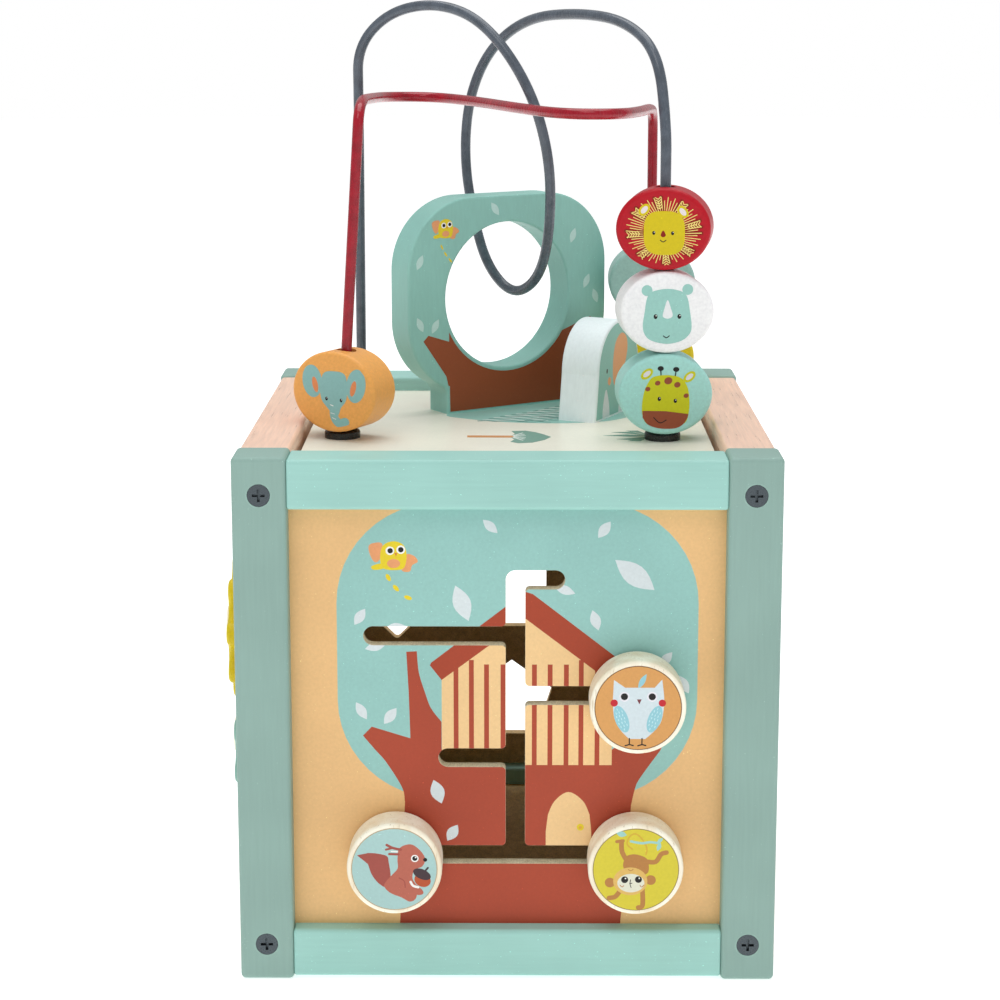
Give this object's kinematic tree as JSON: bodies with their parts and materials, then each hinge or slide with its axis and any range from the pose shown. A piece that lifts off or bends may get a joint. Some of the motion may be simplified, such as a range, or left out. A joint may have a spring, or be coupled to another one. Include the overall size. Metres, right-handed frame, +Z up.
{
  "type": "baby activity cube",
  "caption": "Wooden activity cube with a slot maze, meshing gears, a shape sorter, and a top with bead wires, a tree plate and an elephant arch.",
  "frame": {"origin": "centre of the cube's square footprint, on the plane it stands on", "axes": "+X to the right seen from the slot maze, +Y to the back, +Z up"},
  "size_m": [0.2112, 0.2078, 0.362],
  "materials": {
    "sage_paint": "satin",
    "mint_paint": "satin",
    "peach_wood": "satin",
    "panel_board": "satin",
    "cream_board": "satin",
    "raw_board": "matte",
    "black_screws": "satin",
    "steel_pins": "brushed",
    "beech": "natural",
    "yellow_paint": "satin",
    "teal_paint": "satin",
    "orange_paint": "satin",
    "pale_blue_paint": "satin",
    "white_paint": "satin",
    "red_paint": "satin",
    "grey_wire": "gloss",
    "red_wire_coat": "gloss",
    "black_plastic": "gloss"
  },
  "bodies": {
    "cube": {"back_sorter_panel": "panel_board", "dark_wire": "grey_wire", "elephant_arch": "pale_blue_paint", "floor_panel": "raw_board", "frame_screws": "black_screws", "front_maze_panel": "panel_board", "gear_axles": "beech", "gear_nuts": "beech", "gear_spacers": "beech", "left_gear_panel": "panel_board", "post_back_left": "sage_paint", "post_back_right": "sage_paint", "post_front_left": "sage_paint", "post_front_right": "sage_paint", "rail_back_bottom": "mint_paint", "rail_back_top": "mint_paint", "rail_dowels": "beech", "rail_front_bottom": "mint_paint", "rail_front_top": "mint_paint", "rail_left_bottom": "peach_wood", "rail_left_top": "peach_wood", "rail_right_bottom": "peach_wood", "rail_right_top": "peach_wood", "red_wire": "red_wire_coat", "right_panel": "panel_board", "top_panel": "cream_board", "top_screws": "black_screws", "tree_plate": "mint_paint", "wire_caps": "black_plastic", "wire_nuts": "steel_pins"},
    "owl": {"owl_knob": "beech", "owl_stem": "beech", "owl_retainer": "beech"},
    "squirrel": {"squirrel_knob": "beech", "squirrel_stem": "beech", "squirrel_retainer": "beech"},
    "monkey": {"monkey_knob": "beech", "monkey_stem": "beech", "monkey_retainer": "beech"},
    "giraffe": {"giraffe_bead": "mint_paint"},
    "rhino": {"rhino_bead": "white_paint"},
    "lion": {"lion_bead": "red_paint"},
    "yellow": {"yellow_bead": "yellow_paint"},
    "green": {"green_bead": "sage_paint"},
    "elephant": {"elephant_bead": "orange_paint"},
    "yellow_wheel": {"yellow_gear": "yellow_paint"},
    "teal_wheel": {"teal_gear": "teal_paint"},
    "orange_wheel": {"orange_gear": "orange_paint"},
    "door": {"sorter_door": "panel_board", "door_pins": "steel_pins"}
  },
  "joints": [
    {"name": "owl_slide", "type": "slide", "parent": "cube", "child": "owl", "axis": [-1, 0, 0], "range_m": [0, 0.0446]},
    {"name": "squirrel_slide", "type": "slide", "parent": "cube", "child": "squirrel", "axis": [1, 0, 0], "range_m": [0, 0.0264]},
    {"name": "monkey_slide", "type": "slide", "parent": "cube", "child": "monkey", "axis": [-1, 0, 0], "range_m": [0, 0.0264]},
    {"name": "giraffe_slide", "type": "slide", "parent": "cube", "child": "giraffe", "axis": [0, 0, 1], "range_m": [0, 0.007]},
    {"name": "rhino_slide", "type": "slide", "parent": "giraffe", "child": "rhino", "axis": [0, 0, 1], "range_m": [0, 0.007]},
    {"name": "lion_slide", "type": "slide", "parent": "rhino", "child": "lion", "axis": [0, 0, 1], "range_m": [0, 0.007]},
    {"name": "yellow_slide", "type": "slide", "parent": "cube", "child": "yellow", "axis": [0, 0, 1], "range_m": [0, 0.02]},
    {"name": "green_slide", "type": "slide", "parent": "yellow", "child": "green", "axis": [0, 0, 1], "range_m": [0, 0.02]},
    {"name": "elephant_slide", "type": "slide", "parent": "cube", "child": "elephant", "axis": [0.0634, 0, 0.998], "range_m": [0, 0.085]},
    {"name": "yellow_gear_spin", "type": "hinge", "parent": "cube", "child": "yellow_wheel", "pos_m": [-0.1025, -0.028, 0.1182], "axis": [-1, 0, 0], "continuous": true},
    {"name": "teal_gear_spin", "type": "hinge", "parent": "cube", "child": "teal_wheel", "pos_m": [-0.1025, -0.013, 0.06726], "axis": [-1, 0, 0], "continuous": true},
    {"name": "orange_gear_spin", "type": "hinge", "parent": "cube", "child": "orange_wheel", "pos_m": [-0.1025, 0.0237, 0.13032], "axis": [-1, 0, 0], "continuous": true},
    {"name": "door_hinge", "type": "hinge", "parent": "cube", "child": "door", "pos_m": [0.0905, 0.0475, 0.1], "axis": [0, 0, 1], "range_deg": [0, 105]}
  ],
  "couplings": [
    {"joint": "teal_gear_spin", "follows": "yellow_gear_spin", "ratio": -1},
    {"joint": "orange_gear_spin", "follows": "yellow_gear_spin", "ratio": -1}
  ]
}
